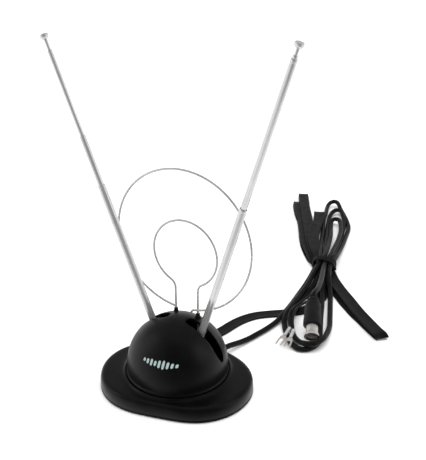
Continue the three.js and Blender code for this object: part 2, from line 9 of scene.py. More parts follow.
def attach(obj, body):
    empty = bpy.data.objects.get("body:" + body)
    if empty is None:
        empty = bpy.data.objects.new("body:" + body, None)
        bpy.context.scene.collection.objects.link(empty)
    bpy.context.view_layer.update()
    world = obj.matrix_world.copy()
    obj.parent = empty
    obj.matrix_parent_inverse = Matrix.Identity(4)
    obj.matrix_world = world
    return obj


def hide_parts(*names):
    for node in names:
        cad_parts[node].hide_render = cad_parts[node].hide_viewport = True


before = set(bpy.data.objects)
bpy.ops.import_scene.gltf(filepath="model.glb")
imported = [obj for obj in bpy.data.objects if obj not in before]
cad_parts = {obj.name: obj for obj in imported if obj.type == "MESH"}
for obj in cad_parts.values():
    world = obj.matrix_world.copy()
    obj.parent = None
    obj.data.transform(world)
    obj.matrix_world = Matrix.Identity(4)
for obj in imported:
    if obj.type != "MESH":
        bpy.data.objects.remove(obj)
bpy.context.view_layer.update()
scene = bpy.context.scene

# ------------------------------------------------------------------ driving dimensions, in millimetres
MM = 0.001
BASE_TURN = math.radians(10.8)
OUTLINE = (55.5, 3.8, -6.9, -1.45, 0.1, -0.65)
COLLAR_RADIUS = 43.2
RIM_PARAM = 60.0
RIM_BAND = 5.2
DOME_RADIUS = 40.4
DOME_HEIGHT = 39.8
DOME_LEVEL = 21.0
DOME_WALL = 2.2
EAR_PLANE = 2.1
PIVOT_X = 11.5
PIVOT_Z = 21.0
LEFT_TILT = 21.6
RIGHT_TILT = 17.15
LEFT_DRAWN = (40.2, 67.4, 11.2)
RIGHT_DRAWN = (114.2, 2.4, 8.0)
TUBES = ((3.05, 2.6, 138.0), (2.45, 2.0, 132.0), (1.85, 1.4, 127.0), (1.25, 0.0, 122.0))
TUBE_START = 10.7
WIRE = 0.9
COAX = 2.5
RIBBON_WIDTH = 12.0
RIBBON_THICK = 1.4
TIE = (36.0, 241.0, 8.5)
PLUG_NECK = Vector((62.2, 139.0, 28.0))
PLUG_MOUTH = Vector((75.5, 103.1, 7.3))
TUBE_CRIMP = 0.34                      # how far a tube's top edge is rolled in
TIP_OVERLAP = 3.1                      # how far a tip button reaches down over the last section
BAR_HALF = 0.95                        # half the width of one printed bar
BAR_LEAN = 0.12                        # sideways lean of a bar over half its height

# Round lead, from the base to the neck of its plug: along the floor, then three turns up and three down.
COAX_ROUTE = [
    (14.2, 45.8, 7), (15.4, 53, 7), (16.6, 58.5, 6.3), (18.8, 66, 4.8), (21.8, 74.5, 3.4), (24.8, 83, 2.7),
    (28.6, 95, 2.6), (32.2, 108, 2.6), (34.8, 122, 2.8), (35.6, 134, 4.1), (35.2, 147, 3.9), (34, 160, 2.7),
    (32.8, 178, 2.6), (31.8, 196, 2.8), (31, 212, 4.4), (30.3, 227, 7.2), (29.8, 240.1, 8.3),
    (25.4, 257.8, 8.2), (20.2, 271.7, 7.2), (14.1, 288.6, 5.2), (4.8, 318.7, 3.4), (-4.7, 346.2, 2.9),
    (-9.1, 360.6, 5), (-12.6, 376.6, 5), (-16.6, 391, 4.7), (-18.8, 402, 5.2), (-18.2, 409.5, 5.9),
    (-15, 413, 6.4), (-10.6, 410.8, 6.5), (-6, 404.4, 6), (-0.6, 395.5, 5), (7.2, 384.4, 3.6),
    (17, 368.4, 2.6), (24, 352.9, 2.6), (29.6, 326.5, 2.9), (34.2, 302.5, 4.2), (38, 279.9, 6.2),
    (42, 257, 10), (43.5, 242.1, 11.4), (45.6, 229, 11.6), (49.2, 216.9, 10.4), (52.9, 208.6, 7.6),
    (57.3, 199.7, 4.6), (61.9, 188.5, 2.8), (68.7, 169.4, 2.6), (75.7, 149.5, 2.7), (80.9, 134, 3.4),
    (84.2, 117, 5.6), (84.8, 103.5, 7.4), (81.4, 94, 7.7), (74.6, 91.4, 7.3), (66.5, 96.2, 4.4),
    (58.2, 105.3, 2.7), (48.8, 121.3, 2.8), (44.4, 133.3, 3.8), (42.6, 143.5, 4.1), (40.2, 166.8, 2.8),
    (39.8, 185.5, 2.8), (39.7, 200.1, 4), (38.3, 215, 6.2), (34.8, 240.8, 8.3), (30.6, 256.1, 8.3),
    (24.8, 273.4, 7.2), (18.7, 291.8, 5.6), (10.1, 318.8, 4), (1.6, 344.2, 2.9), (-4.2, 364.5, 2.8),
    (-6.6, 376.2, 3.8), (-6.4, 385.2, 5), (-3.2, 390.2, 5.9), (1.8, 388.8, 6), (6.2, 381.8, 5.2),
    (12, 370.6, 3.4), (17, 357.4, 2.6), (23.8, 328.3, 2.8), (29.8, 294.8, 4.4), (34.9, 264, 7.2),
    (39.7, 241.5, 8.3), (43.6, 227, 7.8), (46.6, 214, 6.3), (50.2, 199.8, 3.6), (55.6, 183.8, 2.7),
    (63.4, 160.1, 2.6), (68.3, 145.3, 2.6), (72.6, 132.9, 2.6), (78.2, 117, 2.6), (81.1, 106.8, 2.6),
    (80.3, 97.9, 2.6), (76.4, 90.9, 2.6), (69.6, 88, 2.6), (61.4, 92.3, 2.6), (52, 104, 2.6),
    (43.8, 117.7, 3), (40.6, 125.6, 5.4), (39.3, 134.4, 7.2), (38.4, 147.3, 7.2), (37.4, 161.1, 6.7),
    (36.4, 181.3, 6.4), (35.2, 201.3, 7.6), (34.2, 216, 9.8), (32.3, 240.5, 12.8), (31, 255, 12.4),
    (27.6, 270.7, 11), (22.8, 289.5, 8.6), (15, 317.2, 6), (8, 337, 4.4), (3.4, 350.5, 4.6),
    (1.8, 357.4, 5.4), (3.8, 361.8, 6.3), (8.8, 360.6, 6.8), (13.4, 353.4, 6.4), (17.2, 344.6, 6.6),
    (20.8, 334.5, 7), (24.4, 322, 7.6), (28.7, 303, 8.9), (33.6, 275.5, 11), (36.8, 256, 12.4),
    (37.2, 241.2, 12.6), (42.8, 218.8, 15), (49.2, 197.2, 18.6), (55.5, 175.0, 23),
    (60.5, 154.0, 27.2), (61.4, 143.4, 28.7), (62.2, 139, 28),
]

# Flat lead: along the floor, then folded back and forth through the tie, three folds up and one down.
RIBBON_ROUTE = [
    (-8.8, 46.2, 4.6), (-10.3, 53.9, 4.3), (-10.6, 60, 2.8), (-9, 70, 1.3), (-5.6, 79, 0.9), (-2.9, 88, 0.9),
    (-0.6, 98, 0.9), (2.6, 108.5, 0.9), (7.2, 118, 0.9), (13, 125.8, 0.9), (20.5, 132, 0.9), (28.5, 138, 0.9),
    (36.5, 143.5, 0.9), (44, 149.8, 0.9), (49.5, 158, 0.9), (52.5, 168, 0.9), (53.5, 180, 0.9),
    (52.5, 194, 0.9), (50, 210, 0.9), (45.5, 226, 2.0), (41.2, 241.7, 3.5), (34, 253, 3.4), (25, 261, 2.5),
    (15, 271, 2.4), (5, 286, 2.4), (-4.5, 304, 2.4), (-11.5, 319, 2.4), (-21, 339, 2.4), (-31, 359, 2.4),
    (-40, 378, 2.4), (-49.5, 399, 2.4), (-54.5, 409.5, 2.5), (-58, 417.5, 2.7), (-59.6, 421.5, 4.6),
    (-58.4, 418, 6.5), (-54, 409, 6.8), (-49.5, 399, 6.9), (-40, 378, 6.9), (-30.5, 359, 6.9),
    (-21, 339, 6.9), (-11.5, 319, 6.9), (-4.5, 304, 6.9), (4.5, 286, 6.9), (14, 270, 6.9), (22, 257, 5.8),
    (31, 240.3, 3.5), (40, 226, 2.4), (51.5, 214, 2.4), (59.5, 205.5, 1.2), (67.2, 198.5, 0.9),
    (77, 187, 0.9), (87.3, 176.2, 0.9), (95, 168.5, 0.9), (103.4, 161.2, 0.9), (115, 150.6, 0.9),
    (124.5, 142.6, 0.9), (127.5, 140.2, 1.1), (128.7, 139, 3), (126.5, 140.2, 5), (121, 144.8, 5.2),
    (108, 157.4, 5.2), (95, 170.6, 5.2), (80.4, 187.2, 5.2), (65.8, 203.6, 5.2), (54, 218.5, 5.2),
    (46.5, 231, 4), (41.2, 241.7, 2.1), (32, 251, 1.3), (20, 255, 0.9), (9.5, 268, 0.9), (-1, 284.5, 0.9),
    (-11, 304, 0.9), (-20.5, 325, 0.9), (-31.5, 348, 0.9), (-40, 362.5, 0.9), (-48.8, 379, 0.9),
    (-54.6, 391.5, 1), (-56.5, 397.4, 3.1), (-53.6, 391, 5.2), (-47.8, 378.5, 5.4), (-40, 362.5, 5.4),
    (-31, 348, 5.4), (-20.5, 325, 5.4), (-11, 304, 5.4), (-0.5, 284.5, 5.4), (10.5, 267.5, 5.2),
    (21, 252.5, 4.0), (31, 240.3, 2.1), (36.5, 229, 3.2), (40, 220, 3.9), (43, 214, 5.4), (43.5, 220, 6.6),
    (42.5, 229, 5.9), (41.2, 241.7, 4.9), (36, 250, 4.6), (25.5, 258.5, 3.9), (18, 268, 3.9), (10, 281, 3.9),
    (3, 295, 3.9), (-3, 312, 3.9), (-8, 331, 3.9), (-11, 345.5, 3.9), (-15, 358.5, 3.9), (-18.5, 368.5, 4.2),
    (-20, 372.5, 6.2), (-18.5, 368.5, 8.2), (-14.5, 358, 8.4), (-10.5, 345.5, 8.4), (-7.5, 331, 8.4),
    (-3, 312, 8.4), (3, 295, 8.4), (9.5, 281, 8.4), (17, 268.5, 8.2), (24.5, 256.5, 7.2), (31, 240.3, 4.9),
    (37.5, 224, 4.2), (43, 209, 4.4), (46, 199, 4.2),
]

SPLIT_ROUTES = [
    [(43.2, 201.5, 4.2), (43.8, 193, 4.6), (44.6, 181, 6.6), (45.4, 169, 7.2), (44.6, 157, 8.6),
     (43.6, 146, 9.6), (43.6, 134, 11.4), (46, 122, 11), (50, 113, 10), (53.6, 106, 9.2)],
    [(48.4, 199.5, 4.2), (48.6, 192, 4.4), (49.2, 181, 5.2), (49.6, 170, 6.4), (48.4, 158, 8.2),
     (46.8, 146, 9.8), (47.4, 133, 11.6), (50.2, 121, 11.2), (54.2, 111.5, 10.2), (58, 103.8, 9.4)],
]


# ------------------------------------------------------------------ geometry helpers
def spline(points, steps):
    """A centripetal Catmull-Rom curve through the points."""
    knots = [Vector(p) for p in points]
    ring = [2 * knots[0] - knots[1], *knots, 2 * knots[-1] - knots[-2]]
    out = []
    for i in range(1, len(ring) - 2):
        p0, p1, p2, p3 = ring[i - 1:i + 3]
        t1 = (p1 - p0).length ** 0.5
        t2 = t1 + (p2 - p1).length ** 0.5
        t3 = t2 + (p3 - p2).length ** 0.5
        for k in range(steps):
            t = t1 + (t2 - t1) * k / steps
            a1 = p0.lerp(p1, t / t1)
            a2 = p1.lerp(p2, (t - t1) / (t2 - t1))
            a3 = p2.lerp(p3, (t - t2) / (t3 - t2))
            b1 = a1.lerp(a2, t / t2)
            b2 = a2.lerp(a3, (t - t1) / (t3 - t1))
            out.append(b1.lerp(b2, (t - t1) / (t2 - t1)))
    return [*out, knots[-1]]


def resample(points, spacing):
    """The same path with points that far apart."""
    out = [points[0]]
    carried = 0.0
    for a, b in zip(points, points[1:]):
        span = (b - a).length
        at = spacing - carried
        while at <= span:
            out.append(a.lerp(b, at / span))
            at += spacing
        carried = span - (at - spacing)
    if (out[-1] - points[-1]).length > 0.2 * spacing:
        out.append(points[-1])
    return out


def new_object(name, data, material, place=None):
    obj = bpy.data.objects.new(name, data)
    scene.collection.objects.link(obj)
    if material is not None:
        obj.data.materials.append(material)
    if place is not None:
        obj.matrix_world = place
    return obj


def mesh_object(name, verts, faces, material, place=None, smooth_angle=40, keep_frame=False):
    """A mesh from points in millimetres. Edges sharper than smooth_angle stay crisp.
    With keep_frame the object keeps its own axes, so that its grain runs along them."""
    mesh = bpy.data.meshes.new(name)
    mesh.from_pydata([Vector(v) * MM for v in verts], [], faces)
    if place is not None and not keep_frame:
        mesh.transform(place)
    tidy = bmesh.new()
    tidy.from_mesh(mesh)
    bmesh.ops.remove_doubles(tidy, verts=tidy.verts, dist=1e-6)
    bmesh.ops.recalc_face_normals(tidy, faces=tidy.faces)
    tidy.to_mesh(mesh)
    tidy.free()
    soften(mesh, smooth_angle)
    return new_object(name, mesh, material, place if keep_frame else None)


def soften(mesh, smooth_angle):
    mesh.shade_smooth()
    mesh.set_sharp_from_angle(angle=math.radians(smooth_angle))


def lathe(name, profile, segments, material, place=None, reshape=None, smooth_angle=40, keep_frame=False):
    """Turns (radius, height) pairs round Z. A profile that starts and ends on the axis is capped there."""
    verts, faces = [], []
    for k in range(segments):
        turn = 2 * math.pi * k / segments
        for radius, height in profile:
            point = (radius * math.cos(turn), radius * math.sin(turn), height)
            verts.append(reshape(point) if reshape else point)
    count = len(profile)
    closed_loop = profile[0][0] > 0
    rows = count if closed_loop else count - 1
    for k in range(segments):
        here, there = k * count, ((k + 1) % segments) * count
        for i in range(rows):
            j = (i + 1) % count
            faces.append((here + i, there + i, there + j, here + j))
    return mesh_object(name, verts, faces, material, place, smooth_angle, keep_frame)


def rounded(profile, amount, steps=3, closed_loop=False):
    """Rounds the inner corners of a profile by up to that many millimetres."""
    out = []
    count = len(profile)
    for i, point in enumerate(profile):
        if not closed_loop and i in (0, count - 1):
            out.append(point)
            continue
        corner = Vector(point)
        before = Vector(profile[i - 1])
        after = Vector(profile[(i + 1) % count])
        cut_in = min(amount, 0.45 * (corner - before).length)
        cut_out = min(amount, 0.45 * (after - corner).length)
        start = corner + (before - corner).normalized() * cut_in
        end = corner + (after - corner).normalized() * cut_out
        for k in range(steps + 1):
            t = k / steps
            out.append(tuple(start.lerp(corner, t).lerp(corner.lerp(end, t), t)))
    return out


def wire(name, points, radius, material, resolution=5, cyclic=False):
    """A round wire or cord that follows the points, as a curve of one spline."""
    curve = bpy.data.curves.new(name, "CURVE")
    curve.dimensions = "3D"
    curve.bevel_depth = radius * MM
    curve.bevel_resolution = resolution
    curve.use_fill_caps = True
    line = curve.splines.new("POLY")
    line.points.add(len(points) - 1)
    for spot, point in zip(line.points, points):
        spot.co = (*(Vector(point) * MM), 1.0)
    line.use_cyclic_u = cyclic
    line.use_smooth = True
    return new_object(name, curve, material)


def extruded(name, outline, low, high, material, place=None, bevel=0.0):
    """A flat plate: an outline in X and Y, from one height to the other, with its edges rounded."""
    count = len(outline)
    verts = [(x, y, low) for x, y in outline] + [(x, y, high) for x, y in outline]
    faces = [tuple(range(count)), tuple(range(2 * count - 1, count - 1, -1))]
    faces += [(i, (i + 1) % count, count + (i + 1) % count, count + i) for i in range(count)]
    obj = mesh_object(name, verts, faces, material, place)
    if bevel:
        add_bevel(obj, bevel)
    return obj


def add_bevel(obj, width, segments=3, angle=35):
    bevel = obj.modifiers.new("rounded edges", "BEVEL")
    bevel.width = width * MM
    bevel.segments = segments
    bevel.limit_method = "ANGLE"
    bevel.angle_limit = math.radians(angle)
    bevel.harden_normals = True


def bake_modifiers(obj, smooth_angle=40):
    """Applies the modifiers to the mesh."""
    graph = bpy.context.evaluated_depsgraph_get()
    mesh = bpy.data.meshes.new_from_object(obj.evaluated_get(graph))
    obj.modifiers.clear()
    obj.data = mesh
    soften(mesh, smooth_angle)


def carve(obj, tools):
    """Cuts the tool shapes out of a solid, then removes them."""
    for tool in tools:
        cut = obj.modifiers.new("cut", "BOOLEAN")
        cut.operation = "DIFFERENCE"
        cut.solver = "EXACT"
        cut.object = tool
    bake_modifiers(obj)
    for tool in tools:
        bpy.data.objects.remove(tool)


def along(start, end):
    """A frame at start whose Z axis points to end."""
    heading = (end - start).normalized()
    turn = heading.to_track_quat("Z", "Y").to_matrix().to_4x4()
    return Matrix.Translation(start * MM) @ turn


# ------------------------------------------------------------------ procedural materials
class Finish:
    """Builds one node material: colour variation, roughness variation, grain and worn edges."""

    def __init__(self, name, roughness, metallic=0.0, coat=0.0, specular=0.5):
        self.material = bpy.data.materials.new(name)
        self.material.use_nodes = True
        self.nodes = self.material.node_tree.nodes
        self.links = self.material.node_tree.links
        self.shader = self.nodes["Principled BSDF"]
        self.shader.inputs["Roughness"].default_value = roughness
        self.shader.inputs["Metallic"].default_value = metallic
        self.shader.inputs["Coat Weight"].default_value = coat
        self.shader.inputs["Coat Roughness"].default_value = 0.12
        self.shader.inputs["Specular IOR Level"].default_value = specular
        self.place = self.nodes.new("ShaderNodeTexCoord").outputs["Object"]
        self.normal = None

    def stretched(self, scale):
        mapping = self.nodes.new("ShaderNodeMapping")
        mapping.inputs["Scale"].default_value = scale
        self.links.new(self.place, mapping.inputs["Vector"])
        return mapping.outputs["Vector"]

    def noise(self, per_metre, detail=3.0, stretch=(1, 1, 1), distortion=0.0):
        texture = self.nodes.new("ShaderNodeTexNoise")
        texture.inputs["Scale"].default_value = per_metre
        texture.inputs["Detail"].default_value = detail
        texture.inputs["Distortion"].default_value = distortion
        self.links.new(self.stretched(stretch), texture.inputs["Vector"])
        return texture.outputs["Fac"]

    def ramp(self, value, stops):
        ramp = self.nodes.new("ShaderNodeValToRGB")
        while len(ramp.color_ramp.elements) < len(stops):
            ramp.color_ramp.elements.new(0.5)
        for element, (position, color) in zip(ramp.color_ramp.elements, stops):
            element.position = position
            element.color = (*color, 1.0)
        self.links.new(value, ramp.inputs["Fac"])
        return ramp.outputs["Color"]

    def colour(self, value, stops):
        self.base = self.ramp(value, stops)
        self.links.new(self.base, self.shader.inputs["Base Color"])
        return self

    def rough(self, value, low, high):
        span = self.nodes.new("ShaderNodeMapRange")
        span.inputs["From Min"].default_value = 0.3
        span.inputs["From Max"].default_value = 0.7
        span.inputs["To Min"].default_value = low
        span.inputs["To Max"].default_value = high
        self.links.new(value, span.inputs["Value"])
        self.links.new(span.outputs["Result"], self.shader.inputs["Roughness"])
        return self

    def bump(self, value, depth, strength=1.0):
        bump = self.nodes.new("ShaderNodeBump")
        bump.inputs["Distance"].default_value = depth * MM
        bump.inputs["Strength"].default_value = strength
        self.links.new(value, bump.inputs["Height"])
        if self.normal is not None:
            self.links.new(self.normal, bump.inputs["Normal"])
        self.normal = bump.outputs["Normal"]
        self.links.new(self.normal, self.shader.inputs["Normal"])
        return self

    def worn(self, colour, start=0.53, end=0.6, patch=180):
        """Edges rubbed towards another colour, in patches."""
        edges = self.ramp(self.nodes.new("ShaderNodeNewGeometry").outputs["Pointiness"], [
            (start, (0, 0, 0)), (end, (1, 1, 1)),
        ])
        patches = self.ramp(self.noise(patch, 4), [(0.42, (0, 0, 0)), (0.62, (0.8, 0.8, 0.8))])
        both = self.nodes.new("ShaderNodeMath")
        both.operation = "MULTIPLY"
        self.links.new(edges, both.inputs[0])
        self.links.new(patches, both.inputs[1])
        mix = self.nodes.new("ShaderNodeMix")
        mix.data_type = "RGBA"
        self.links.new(both.outputs[0], mix.inputs["Factor"])
        self.links.new(self.base, mix.inputs[6])
        mix.inputs[7].default_value = (*colour, 1.0)
        self.links.new(mix.outputs[2], self.shader.inputs["Base Color"])
        return self


def grey(level):
    return (level, level, level * 1.01)


def satin_plastic():
    f = Finish("satin_black_plastic", 0.36, specular=0.24)
    f.colour(f.noise(70, 4), [(0.3, grey(0.0018)), (0.7, grey(0.0034))])
    f.rough(f.noise(45, 5), 0.31, 0.43)
    f.bump(f.noise(2600, 2), 0.012, 0.5).bump(f.noise(110, 2), 0.05, 0.25)
    return f.worn(grey(0.012)).material


def deck_plastic():
    f = Finish("textured_black_plastic", 0.46, specular=0.22)
    f.colour(f.noise(80, 4), [(0.3, grey(0.0016)), (0.7, grey(0.0032))])
    f.rough(f.noise(60, 5), 0.26, 0.38)
    f.bump(f.noise(1900, 3), 0.03, 0.6).bump(f.noise(90, 2), 0.05, 0.25)
    return f.worn(grey(0.011)).material


def matte_plastic():
    f = Finish("matte_black_plastic", 0.6, specular=0.35)
    f.colour(f.noise(120, 4), [(0.3, grey(0.004)), (0.7, grey(0.0075))])
    f.rough(f.noise(150, 4), 0.5, 0.68)
    f.bump(f.noise(1500, 3), 0.03, 0.5)
    return f.worn(grey(0.02)).material


def soft_rubber():
    f = Finish("black_rubber", 0.8, specular=0.3)
    f.colour(f.noise(200, 4), [(0.3, grey(0.003)), (0.7, grey(0.007))])
    f.rough(f.noise(250, 4), 0.68, 0.88)
    f.bump(f.noise(900, 4), 0.04, 0.6)
    return f.material


def cord_vinyl(name, per_metre):
    f = Finish(name, 0.42, specular=0.16)
    f.colour(f.noise(per_metre, 4), [(0.3, grey(0.0035)), (0.7, grey(0.0075))])
    f.rough(f.noise(per_metre * 2, 4), 0.34, 0.52)
    f.bump(f.noise(1400, 3), 0.025, 0.5).bump(f.noise(160, 2), 0.12, 0.35)
    return f.material


def chrome_tube():
    f = Finish("chrome_plate", 0.12, metallic=0.72)
    f.colour(f.noise(60, 4), [(0.3, (0.68, 0.68, 0.685)), (0.7, (0.78, 0.775, 0.77))])
    f.rough(f.noise(300, 4, (1, 1, 0.06)), 0.06, 0.19)
    f.bump(f.noise(2400, 2, (1, 1, 0.03)), 0.004, 0.35)
    return f.material


def loop_wire_metal():
    f = Finish("plated_wire", 0.24, metallic=0.62)
    f.colour(f.noise(90, 4), [(0.3, (0.48, 0.475, 0.46)), (0.7, (0.62, 0.615, 0.60))])
    f.rough(f.noise(500, 4), 0.18, 0.34)
    f.bump(f.noise(1800, 3), 0.01, 0.4)
    return f.material


def plain_metal(name, dark, light, low, high, per_metre=400):
    f = Finish(name, low, metallic=0.8)
    f.colour(f.noise(per_metre, 4), [(0.3, dark), (0.7, light)])
    f.rough(f.noise(per_metre * 1.5, 4), low, high)
    f.bump(f.noise(1600, 3), 0.012, 0.4)
    return f.material


def dull_solid(name, dark, light, low, high, per_metre=300, stretch=(1, 1, 1)):
    f = Finish(name, low)
    f.colour(f.noise(per_metre, 5, stretch), [(0.3, dark), (0.7, light)])
    f.rough(f.noise(per_metre * 1.4, 4), low, high)
    f.bump(f.noise(per_metre * 4, 3), 0.03, 0.5)
    return f.material


SATIN = satin_plastic()
DECK = deck_plastic()
MATTE = matte_plastic()
RUBBER = soft_rubber()
COAX_VINYL = cord_vinyl("round_lead_vinyl", 140)
RIBBON_VINYL = cord_vinyl("flat_lead_vinyl", 90)
CHROME = chrome_tube()
LOOP_METAL = loop_wire_metal()
NICKEL = plain_metal("bright_nickel", (0.72, 0.68, 0.65), (0.84, 0.80, 0.77), 0.26, 0.42)
STEEL = plain_metal("zinc_steel", (0.42, 0.42, 0.43), (0.58, 0.58, 0.59), 0.3, 0.46)
BRASS = plain_metal("yellow_brass", (0.30, 0.20, 0.09), (0.42, 0.29, 0.14), 0.30, 0.46)
# Brass darkened nearly to black as painted shade: the brackets and knuckles sit in the dark inside of the
# dome; the metal itself is plain brass.
BRASS_PAINTED_SHADE = plain_metal("brass_darkened_as_painted_shade", (0.020, 0.018, 0.015), (0.045, 0.038, 0.028), 0.42, 0.6)
COPPER = plain_metal("copper_wire", (0.52, 0.22, 0.11), (0.68, 0.32, 0.17), 0.24, 0.4)
CAST = plain_metal("cast_iron", (0.10, 0.10, 0.105), (0.17, 0.17, 0.175), 0.55, 0.78, 220)
# Brown phenolic laminate, darkened further as painted shade for the clamp and board that sit in the dark
# inside.
LAMINATE_WITH_PAINTED_SHADE = dull_solid("laminate_darkened_as_painted_shade", (0.030, 0.014, 0.007), (0.055, 0.028, 0.014), 0.5, 0.7, 260, (1, 1, 4))
FERRITE = dull_solid("dark_ferrite", grey(0.02), grey(0.04), 0.45, 0.65, 500)
INSULATOR = dull_solid("reddish_insulator", (0.012, 0.0035, 0.0025), (0.034, 0.009, 0.006), 0.3, 0.5, 520)
SLEEVE = dull_solid("clear_sleeve", (0.30, 0.30, 0.295), (0.46, 0.46, 0.45), 0.28, 0.46, 350)
INK = dull_solid("pale_ink", (0.26, 0.35, 0.35), (0.38, 0.47, 0.46), 0.45, 0.6, 700)
TIE_VINYL = cord_vinyl("tie_vinyl", 220)


# ------------------------------------------------------------------ camera
def make_camera():
    camera = bpy.data.objects.new("camera", bpy.data.cameras.new("camera"))
    scene.collection.objects.link(camera)
    camera.data.sensor_fit = "HORIZONTAL"
    camera.data.sensor_width = 36.0
    camera.data.lens = 67.69
    camera.data.clip_start = 0.01
    camera.location = (0.2781, -0.4689, 0.3815)
    backwards = Vector((0.42353, -0.80719, 0.41116))
    camera.rotation_euler = (-backwards).to_track_quat("-Z", "Y").to_euler()
    scene.camera = camera


# ------------------------------------------------------------------ leads
def ribbon_mesh(name, points, material):
    """A flat figure-of-eight strip: two round cores in the edges and a thin web between them."""
    half, bead, web = RIBBON_WIDTH / 2, RIBBON_THICK / 2, 0.42
    section = []
    for side in (1, -1):
        for k in range(7):
            turn = math.radians((-120 if side > 0 else 60) + 40 * k)
            section.append((side * (half - bead) + bead * math.cos(turn), bead * math.sin(turn)))
        section += [(side * (half - 2.6), web * side), (-side * (half - 2.6), web * side)]
    verts, faces, across = [], [], None
    for i, point in enumerate(points):
        heading = (points[min(i + 1, len(points) - 1)] - points[max(i - 1, 0)]).normalized()
        flat = Vector((heading.y, -heading.x, 0))
        if across is None:
            across = flat.normalized()
        wanted = flat.normalized() if flat.length > 0.25 else across
        if wanted.dot(across) < 0:
            wanted = -wanted
        across = across.lerp(wanted, 0.45)
        across = (across - heading * across.dot(heading)).normalized()
        up = across.cross(heading)
        verts += [point + across * u + up * v for u, v in section]
    count = len(section)
    for i in range(len(points) - 1):
        for j in range(count):
            k = (j + 1) % count
            faces.append((i * count + j, i * count + k, (i + 1) * count + k, (i + 1) * count + j))
    last = (len(points) - 1) * count
    faces += [tuple(range(count - 1, -1, -1)), tuple(range(last, last + count))]
    return mesh_object(name, verts, faces, material, smooth_angle=50)


def make_leads():
    coax_points = resample(spline(COAX_ROUTE, 8), 2.0)
    coax = wire("round_lead", coax_points, COAX, COAX_VINYL, 6)
    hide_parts("coax_lead", "coax_hank")
    ribbon_points = resample(spline(RIBBON_ROUTE, 10), 1.5)
    ribbon = ribbon_mesh("flat_lead", ribbon_points, RIBBON_VINYL)
    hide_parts("ribbon_lead", "ribbon_hank")
    tails = []
    for i, route in enumerate(SPLIT_ROUTES):
        tail = wire(f"split_core_{i + 1}", resample(spline(route, 8), 1.5), 1.1, RIBBON_VINYL, 4)
        tails.append(tail)
    plug = make_plug()
    forks = make_forks()
    for piece in (coax, ribbon, *tails, *plug, *forks):
        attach(piece, "base")


def make_plug():
    place = along(PLUG_NECK, PLUG_MOUTH)
    end = (PLUG_MOUTH - PLUG_NECK).length
    neck = [(0, 0), (2.9, 0)]
    for k in range(3):
        low = 0.4 + 1.2 * k
        neck += [(3.5 + 0.1 * k, low), (3.5 + 0.1 * k, low + 0.6), (2.9 + 0.12 * k, low + 0.8)]
    body = [(5.0, 4.0), (5.5, 4.5), (5.6, 6.7), (5.1, 7.3), (5.8, 7.8), (6.8, 9), (7.4, 14), (7.8, 22),
            (8.05, 28), (8.1, 31), (7.9, 31.7), (7.4, 32), (0, 32)]
    boot = lathe("plug_boot_moulding", neck + rounded(body, 0.45), 64, MATTE, place)
    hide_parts("plug_boot")
    shell = lathe("plug_metal_shell", rounded([
        (4.7, 32.3), (5.4, 32.3), (5.4, 38.6), (5.15, 38.8), (5.15, 39.3), (6.0, 39.5), (6.35, 40.3),
        (6.75, 42.2), (6.8, 42.7), (6.5, 43), (6.1, 43), (5.8, 41.2), (4.7, 40.4),
    ], 0.2, closed_loop=True), 64, NICKEL, place)
    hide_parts("plug_shell")
    core = lathe("plug_insulator_cap", rounded([
        (4.6, 40.6), (5.7, 41.4), (6.0, 43.05), (6.7, 43.05), (6.75, 43.3), (6.4, end), (5.2, end),
        (4.8, end - 0.5), (4.7, 42.4), (3.2, 42.2), (3.0, 42.9), (1.3, 42.9), (1.0, 42.6),
        (1.0, 34), (4.2, 34),
    ], 0.15, closed_loop=True), 64, INSULATOR, place)
    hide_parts("plug_insulator")
    pin_profile = [(0, 33), (0.7, 33), (0.7, 42.7), (0.5, 43.1), (0, 43.2)]
    pin = lathe("plug_centre_pin", pin_profile, 24, BRASS, place)
    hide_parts("plug_pin")
    return [boot, shell, core, pin]


def make_forks():
    """Two crimped fork terminals, each with a clear sleeve over its barrel."""
    spots = [
        (Vector((53.6, 106, 9.2)), Vector((52, 84.5, 4))),
        (Vector((58, 103.8, 9.4)), Vector((60.5, 84.5, 6))),
    ]
    pieces = []
    for i, (start, end) in enumerate(spots):
        place = along(start, end)
        prongs = [(-1.2, 10), (1.2, 10), (2.4, 11.6), (3.1, 13)]
        prongs += [(3.1, 22), (2.7, 22.6), (1.8, 22.6), (1.6, 22)]
        prongs += [(1.6, 15.4), (1.1, 14.7), (0, 14.4), (-1.1, 14.7), (-1.6, 15.4)]
        prongs += [(-1.6, 22), (-1.8, 22.6), (-2.7, 22.6), (-3.1, 22), (-3.1, 13), (-2.4, 11.6)]
        turned = place @ Matrix.Rotation(math.pi / 2, 4, "X")
        blade = extruded(f"fork_blade_{i + 1}", prongs, -0.4, 0.4, NICKEL, turned, 0.15)
        sleeve = lathe(f"fork_sleeve_{i + 1}", rounded([
            (0, -0.4), (1.45, -0.4), (1.6, 0.4), (1.6, 5), (1.45, 5.8), (1.5, 8), (1.3, 10.6), (0, 10.9),
        ], 0.3), 32, SLEEVE, place)
        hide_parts(f"fork_terminal_{i + 1}")
        pieces += [blade, sleeve]
    return pieces


